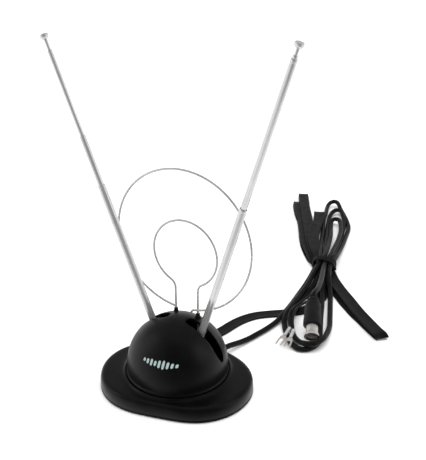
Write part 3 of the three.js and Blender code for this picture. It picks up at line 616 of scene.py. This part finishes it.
def make_tie():
    """A plastic-covered wire wound four times round the bundle, its ends twisted together at the side."""
    turn = Matrix.Rotation(math.radians(8), 4, "Z")
    points = []
    turns = 4.35
    steps = 280
    for k in range(steps + 1):
        angle = 2 * math.pi * turns * k / steps - math.radians(60)
        c, s = math.cos(angle), math.sin(angle)
        reach = (abs(c) ** 2.8 + abs(s) ** 2.8) ** (-1 / 2.8)
        lean = -1.3 * c * reach
        points.append((11.0 * c * reach, lean - 6.6 + 9.2 * k / steps, 7.6 * s * reach))
    placed = [turn @ Vector(p) + Vector(TIE) for p in points]
    band = wire("tie_wrap", placed, 1.2, TIE_VINYL, 4)
    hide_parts("twist_tie")
    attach(band, "base")
    for side in (0, 1):
        tail = []
        for k in range(33):
            share = k / 32
            angle = 2 * math.pi * 1.5 * share + math.pi * side
            spread = 0.85
            offset = Vector((10.6 + 2.6 * share, -3.4 - 4.4 * share, 2.2 - 2.6 * share))
            curl = Vector((0, spread * math.cos(angle), spread * math.sin(angle)))
            tail.append(turn @ (offset + curl) + Vector(TIE))
        piece = wire(f"tie_twist_{side + 1}", tail, 0.8, TIE_VINYL, 4)
        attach(piece, "base")


make_camera()
make_leads()
make_tie()


# ------------------------------------------------------------------ weighted base
def outline_radius(angle):
    from_front = angle + math.pi / 2
    return sum(term * math.cos(k * from_front) for k, term in enumerate(OUTLINE))


def on_outline(point):
    """Stretches a turned shape from a circle onto the bean-shaped outline of the base."""
    x, y, z = point
    radius = math.hypot(x, y)
    if radius <= COLLAR_RADIUS + 1e-6:
        return point
    inset = RIM_PARAM - radius
    rim = outline_radius(math.atan2(y, x))
    share = (radius - COLLAR_RADIUS) / (RIM_PARAM - RIM_BAND - COLLAR_RADIUS)
    on_deck = COLLAR_RADIUS + share * (rim - RIM_BAND - COLLAR_RADIUS)
    wanted = rim - inset if inset <= RIM_BAND else on_deck
    return (x * wanted / radius, y * wanted / radius, z)


def wall_frame(around_degrees, height):
    """A frame on the base wall, its Y axis pointing straight out."""
    def point(angle):
        return Vector((math.cos(angle), math.sin(angle), 0)) * outline_radius(angle)
    angle = math.radians(around_degrees)
    tangent = point(angle + 0.001) - point(angle - 0.001)
    spot = point(angle)
    spot.z = height
    heading = math.atan2(-tangent.y, -tangent.x)
    turned = Matrix.Rotation(BASE_TURN, 4, "Z")
    return turned @ Matrix.Translation(spot * MM) @ Matrix.Rotation(heading, 4, "Z")


COAX_EXIT = wall_frame(62, 7)
RIBBON_EXIT = wall_frame(90, 4.6)


def make_base():
    turned = Matrix.Rotation(BASE_TURN, 4, "Z")
    wall = [(57.5, 1), (60, 1), (60, 1.8), (59.72, 2.2), (59.72, 2.7), (59.9, 3.1), (59.6, 8.2), (59.35, 9.6)]
    rim = [(58.95, 10.7), (58.3, 11.5), (57.3, 12.1), (56, 12.42), (54.6, 12.5)]
    deck = [(52, 12.55), (49, 12.65), (46.4, 12.85), (44.6, 13.15), (43.7, 13.6), (43.2, 14)]
    collar = [(42.8, 14.25), (42.2, 14.3), (41.8, 14.2), (41.5, 13.9), (41.5, 13), (7, 13)]
    under = [(7, 10.8), (44, 10.8), (54, 10.5), (56.6, 9.6), (57.4, 8)]
    shell = lathe("base_moulding", wall + rim + deck + collar + under, 192, DECK, turned, on_outline, 60)
    bore = lathe("bore", [(0, -14), (3.4, -14), (3.4, 14), (0, 14)], 32, None,
                 COAX_EXIT @ Matrix.Rotation(-math.pi / 2, 4, "X"))
    mouth = extruded("mouth", [(-7.4, -8), (7.4, -8), (7.4, 8), (-7.4, 8)], -1.6, 1.6, None, RIBBON_EXIT)
    carve(shell, [bore, mouth])
    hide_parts("base_shell")
    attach(shell, "base")

    outwards = Matrix.Rotation(-math.pi / 2, 4, "X")
    collar_profile = [(2.7, -7.4), (3.6, -7.4), (3.6, -5.6), (3, -5.6), (3, 1.5), (5, 1.5), (5, 2.6)]
    for k in range(3):
        low = 2.9 + 1.35 * k
        collar_profile += [(4.5 - 0.3 * k, low), (4.5 - 0.3 * k, low + 0.7), (4.0 - 0.28 * k, low + 1.0)]
    collar_profile += [(3.25, 7.0), (2.7, 7.0)]
    relief_profile = rounded(collar_profile, 0.2, 2, True)
    relief = lathe("round_lead_relief", relief_profile, 48, RUBBER, COAX_EXIT @ outwards)
    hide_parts("coax_grommet")
    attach(relief, "base")


def oval(half_x, half_z, steps=32, power=4.0):
    points = []
    for k in range(steps):
        angle = 2 * math.pi * k / steps
        c, s = math.cos(angle), math.sin(angle)
        reach = (abs(c) ** power + abs(s) ** power) ** (-1 / power)
        points.append((half_x * c * reach, half_z * s * reach))
    return points


def make_ribbon_bush():
    upright = RIBBON_EXIT @ Matrix.Rotation(-math.pi / 2, 4, "X")
    flange = extruded("flat_lead_bush", oval(8.4, 2.6), 2, 3.6, RUBBER, upright, 0.4)
    slit = extruded("slit", oval(6.3, 0.95), -2, 8, None, upright)
    carve(flange, [slit])
    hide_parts("ribbon_bush")
    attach(flange, "base")
    sleeve = extruded("flat_lead_sleeve", oval(7.1, 1.3), -3.6, 2.1, RUBBER, upright, 0.2)
    bore = extruded("bore", oval(6.3, 0.95), -8, 8, None, upright)
    carve(sleeve, [bore])
    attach(sleeve, "base")


# ------------------------------------------------------------------ turning dome
def dome_arc(inset, steps):
    points = []
    for i in range(steps + 1):
        angle = math.pi / 2 * i / steps
        radius = 0.0 if i == steps else (DOME_RADIUS - inset) * math.cos(angle)
        points.append((radius, DOME_LEVEL + (DOME_HEIGHT - inset) * math.sin(angle)))
    return points


def slot_outline(side):
    half, inner, outer = 5.1, 7.2, 39.5
    near, far = inner + half, outer - half
    right, left = (far, near) if side > 0 else (-near, -far)
    points = []
    for k in range(17):
        angle = -math.pi / 2 + math.pi * k / 16
        points.append((right + half * math.cos(angle), EAR_PLANE + half * math.sin(angle)))
    for k in range(17):
        angle = math.pi / 2 + math.pi * k / 16
        points.append((left + half * math.cos(angle), EAR_PLANE + half * math.sin(angle)))
    return points


def make_dome():
    foot = [(38.2, 14), (40.9, 14), (41.1, 14.2), (41.1, 14.9), (40.9, 15.2), (40.45, 15.7), (40.4, 17)]
    profile = [*dome_arc(DOME_WALL, 32)[::-1], *foot, *dome_arc(0, 40)]
    dome = lathe("dome_moulding", profile, 144, SATIN, smooth_angle=60)
    tools = [extruded("tool", slot_outline(side), 30, 80, None) for side in (1, -1)]
    for x in (-8.3, 11.7):
        tools.append(lathe("tool", [(0, 45), (2.6, 45), (2.6, 70), (0, 70)], 40, None,
                           Matrix.Translation(Vector((x, 13.3, 0)) * MM)))
    carve(dome, tools)
    add_bevel(dome, 0.45, 3, 50)
    bake_modifiers(dome, 60)
    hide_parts("dome_shell")
    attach(dome, "turret")


def on_dome(x, z, proud):
    """A point on the front of the dome."""
    up = (z - DOME_LEVEL) / DOME_HEIGHT
    radius = DOME_RADIUS * math.sqrt(max(0.0, 1 - up * up))
    normal = Vector((x, -math.sqrt(radius * radius - x * x), 0))
    normal.z = (z - DOME_LEVEL) * (DOME_RADIUS / DOME_HEIGHT) ** 2
    spot = Vector((x, normal.y, z))
    return spot + normal.normalized() * proud


def make_mark():
    """A plain printed row of signal bars on the front of the dome: no letters."""
    heights = (2.2, 3.4, 4.6, 3.6, 5.2, 6.0, 4.6, 3.4, 2.4)
    verts, faces = [], []
    for i, height in enumerate(heights):
        left = -9.6 + 3.3 * i
        level = 39.6 - 0.05 * i
        rows, columns = 6, 4
        start = len(verts)
        for proud in (0.1, -0.15):
            for r in range(rows + 1):
                t = 2 * r / rows - 1
                narrow = math.sqrt(max(0.12, 1 - abs(t) ** 8))
                for c in range(columns + 1):
                    u = 2 * c / columns - 1
                    across = left + BAR_HALF + BAR_HALF * u * narrow + BAR_LEAN * t
                    verts.append(on_dome(across, level + height / 2 * t, proud))
        layer = (rows + 1) * (columns + 1)
        for r in range(rows):
            for c in range(columns):
                a = start + r * (columns + 1) + c
                quad = (a, a + 1, a + columns + 2, a + columns + 1)
                faces.append(quad)
                faces.append(tuple(q + layer for q in reversed(quad)))
        edge = [r * (columns + 1) for r in range(rows + 1)]
        edge += [rows * (columns + 1) + c for c in range(1, columns + 1)]
        edge += [r * (columns + 1) + columns for r in range(rows - 1, -1, -1)]
        edge += [c for c in range(columns - 1, 0, -1)]
        for a, b in zip(edge, edge[1:] + edge[:1]):
            faces.append((start + a, start + b, start + b + layer, start + a + layer))
    mark = mesh_object("printed_bars", verts, faces, INK)
    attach(mark, "turret")


# ------------------------------------------------------------------ ears
def tube_profile(outer, inner, length, crimp):
    """A drawn tube, its top edge rolled in to hold the next section."""
    if inner == 0:
        return rounded([(0, 0), (outer, 0), (outer, length), (0, length)], 0.2)
    return [
        (inner, 0), (outer - 0.1, 0), (outer, 0.15), (outer, length - 3.4), (outer - 0.02, length - 3.2),
        (outer - 0.07, length - 2.9), (outer - 0.07, length - 2.5), (outer - 0.02, length - 2.2),
        (outer, length - 2.0), (outer, length - 1.0), (outer - 0.08, length - 0.5),
        (outer - 0.24, length - 0.14), (outer - crimp, length),
        (inner + 0.02, length - 0.1), (inner, length - 0.6),
    ]


def make_ear(suffix, side, tilt, drawn):
    ear = Matrix.Translation(Vector((side * PIVOT_X, EAR_PLANE, PIVOT_Z)) * MM)
    ear = ear @ Matrix.Rotation(side * math.radians(tilt), 4, "Y")
    top = TUBE_START + TUBES[0][2]
    tops = [top]
    for out in drawn:
        top += out
        tops.append(top)
    bodies = (f"{suffix}_ear", f"{suffix}_section_2", f"{suffix}_section_3", f"{suffix}_section_4")
    for i, ((outer, inner, length), end, body) in enumerate(zip(TUBES, tops, bodies)):
        place = ear @ Matrix.Translation((0, 0, (end - length) * MM))
        profile = tube_profile(outer, inner, length, TUBE_CRIMP)
        tube = lathe(f"{suffix}_drawn_tube_{i + 1}", profile, 48, CHROME, place, keep_frame=True)
        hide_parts(f"{suffix}_tube_{i + 1}")
        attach(tube, body)
    place = ear @ Matrix.Translation((0, 0, (tops[-1] - TIP_OVERLAP) * MM))
    tip = lathe(f"{suffix}_button", rounded([
        (1.55, 0), (2.0, 0), (2.3, 0.2), (2.6, 0.6), (3.2, 1.5), (3.4, 1.9), (3.4, 3.2), (3.2, 3.7),
        (2.6, 4.1), (1.6, 4.35), (0, 4.5),
    ], 0.15, 2) + [(0, 3.2), (1.5, 3.2)], 48, CHROME, place, smooth_angle=50, keep_frame=True)
    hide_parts(f"{suffix}_tip")
    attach(tip, bodies[-1])


# ------------------------------------------------------------------ wire loops
def arc(centre_x, centre_z, radius, start, end, y, steps):
    """Points clockwise, seen from the front, from one angle to the other."""
    span = end - start
    while span > 0:
        span -= 2 * math.pi
    return [
        Vector((centre_x + radius * math.cos(start + span * k / steps), y,
                centre_z + radius * math.sin(start + span * k / steps)))
        for k in range(steps + 1)
    ]


def bend(a, b, c, steps=10):
    return [a.lerp(b, k / steps).lerp(b.lerp(c, k / steps), k / steps) for k in range(steps + 1)]


def make_loops():
    radius, y, centre = 58.3, 11.2, 121.7
    start = -math.pi / 2 - math.asin(7.2 / radius)
    end = -math.pi / 2 + math.asin(9.4 / radius)
    hoop = arc(0, centre, radius, start, end, y, 120)
    last = hoop[-1]
    tail = bend(last, last + Vector((-2, 0, -0.2)), last + Vector((-2.6, 0, -2.8)))
    large = wire("large_wire_loop", hoop + tail[1:], WIRE, LOOP_METAL, 5)
    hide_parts("large_loop")
    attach(large, "turret")

    radius, y, centre_x, centre_z, neck, bottom = 27.9, 13.3, 0.7, 110.4, 78.5, 35.0
    mouth = math.radians(29)
    hoop = arc(centre_x, centre_z, radius, -math.pi / 2 - mouth, -math.pi / 2 + mouth, y, 80)
    first, last = hoop[0], hoop[-1]

    def leg(x, joint):
        foot = [Vector((x, y, bottom + (neck - bottom) * k / 8)) for k in range(8)]
        return foot + bend(Vector((x, y, neck)), Vector((x, y, joint.z - 2.2)), joint)

    points = leg(-8.3, first)[:-1] + hoop + leg(11.7, last)[-2::-1]
    small = wire("small_wire_loop", points, WIRE, LOOP_METAL, 5)
    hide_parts("small_loop")
    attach(small, "turret")

    for suffix, x in (("left", -8.3), ("right", 11.7)):
        bush = lathe(f"wire_bush_{suffix}", rounded([
            (1.1, 53), (2.3, 53), (2.3, 57.2), (1.75, 58.4), (1.6, 60.4), (1.4, 61), (1.1, 61.2),
        ], 0.3, 3, True), 40, RUBBER, Matrix.Translation(Vector((x, 13.3, 0)) * MM))
        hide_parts(f"loop_bush_{suffix}")
        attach(bush, "turret")


make_base()
make_ribbon_bush()
make_dome()
make_mark()
make_ear("left", -1, LEFT_TILT, LEFT_DRAWN)
make_ear("right", 1, RIGHT_TILT, RIGHT_DRAWN)
make_loops()

# ------------------------------------------------------------------ finishes of the CAD nodes that stay
# The loop clamp and terminal board take the laminate darkened as painted shade.
CAD_FINISHES = {
    "base_plate": MATTE, "friction_ring": MATTE, "turntable": MATTE, "ballast_plate": CAST,
    "swivel_clip": STEEL, "loop_clamp": LAMINATE_WITH_PAINTED_SHADE, "terminal_board": LAMINATE_WITH_PAINTED_SHADE, "balun_core": FERRITE,
    "balun_winding": COPPER, "coax_tail": COAX_VINYL, "ribbon_tail": RIBBON_VINYL, "centre_foot": RUBBER,
}
# The pivot brackets and knuckles take the brass darkened as painted shade.
FAMILY_FINISHES = {
    "base_screw": STEEL, "dome_screw": STEEL, "base_foot": RUBBER,
    "pivot_bracket": BRASS_PAINTED_SHADE, "pivot_screw": STEEL,
    "pivot_nut": STEEL, "left_knuckle": BRASS_PAINTED_SHADE, "right_knuckle": BRASS_PAINTED_SHADE,
}


def finish_cad_nodes():
    for name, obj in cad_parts.items():
        finish = CAD_FINISHES.get(name)
        for family, shared in FAMILY_FINISHES.items():
            if name.startswith(family):
                finish = shared
        if finish is None:
            continue
        obj.data.materials.clear()
        obj.data.materials.append(finish)


finish_cad_nodes()


# ------------------------------------------------------------------ floor, light
def make_floor():
    mesh = bpy.data.meshes.new("floor")
    half = 6.0
    corners = [(-half, -half, 0), (half, -half, 0), (half, half, 0), (-half, half, 0)]
    mesh.from_pydata(corners, [], [(0, 1, 2, 3)])
    material = bpy.data.materials.new("pale_floor")
    material.use_nodes = True
    shader = material.node_tree.nodes["Principled BSDF"]
    shader.inputs["Base Color"].default_value = (0.93, 0.93, 0.93, 1)
    shader.inputs["Roughness"].default_value = 0.9
    shader.inputs["Specular IOR Level"].default_value = 0.1
    floor = new_object("floor", mesh, material)
    floor.visible_glossy = False


def area_light(name, location, aim, size, power):
    light = bpy.data.lights.new(name, "AREA")
    light.shape = "RECTANGLE"
    light.size, light.size_y = size
    light.energy = power
    lamp = bpy.data.objects.new(name, light)
    scene.collection.objects.link(lamp)
    lamp.location = location
    lamp.rotation_euler = (Vector(aim) - Vector(location)).to_track_quat("-Z", "Y").to_euler()
    return lamp


def make_light():
    """A white studio. Gloss sees a dark room round the camera, bright sides and back, a dimmer ceiling."""
    world = bpy.data.worlds.new("studio")
    scene.world = world
    world.use_nodes = True
    nodes, links = world.node_tree.nodes, world.node_tree.links
    background = nodes["Background"]

    def dot(direction):
        product = nodes.new("ShaderNodeVectorMath")
        product.operation = "DOT_PRODUCT"
        product.inputs[1].default_value = direction
        links.new(nodes.new("ShaderNodeTexCoord").outputs["Generated"], product.inputs[0])
        return product.outputs["Value"]

    def ramp(value, stops):
        node = nodes.new("ShaderNodeValToRGB")
        node.color_ramp.interpolation = "EASE"
        while len(node.color_ramp.elements) < len(stops):
            node.color_ramp.elements.new(0.5)
        for element, (position, level) in zip(node.color_ramp.elements, stops):
            element.position = position
            element.color = (level, level, level, 1)
        links.new(value, node.inputs["Fac"])
        return node.outputs["Color"]

    def mix(kind, factor, a, b):
        node = nodes.new("ShaderNodeMix")
        node.data_type = "RGBA"
        node.blend_type = kind
        if isinstance(factor, float):
            node.inputs["Factor"].default_value = factor
        else:
            links.new(factor, node.inputs["Factor"])
        links.new(a, node.inputs[6])
        if isinstance(b, tuple):
            node.inputs[7].default_value = b
        else:
            links.new(b, node.inputs[7])
        return node.outputs[2]

    front = ramp(dot((0.592, -0.766, 0.25)), [(0.0, 0.95), (0.55, 0.52), (0.75, 0.12), (1.0, 0.07)])
    heights = ramp(dot((0.0, 0.0, 1.0)), [(0.0, 1.0), (0.1, 0.9), (0.4, 0.34), (0.9, 0.3)])
    seen_in_gloss = mix("MULTIPLY", 1.0, front, heights)
    white = (1, 1, 1, 1)
    rays = nodes.new("ShaderNodeLightPath")
    colour = mix("MIX", rays.outputs["Is Camera Ray"], seen_in_gloss, white)
    colour = mix("MIX", rays.outputs["Is Diffuse Ray"], colour, white)
    links.new(colour, background.inputs["Color"])
    background.inputs["Strength"].default_value = 1.0
    area_light("left_softbox", (-1.5, -0.5, 1.0), (0, 0, 0.05), (0.9, 1.3), 3)
    area_light("right_softbox", (1.5, 0.3, 1.0), (0, 0, 0.05), (0.9, 1.3), 3)
    top = area_light("top_softbox", (0.1, 0.3, 2.2), (0, 0.1, 0), (2.4, 2.4), 36)
    top.visible_glossy = False
    scene.view_settings.view_transform = "Standard"


make_floor()
make_light()
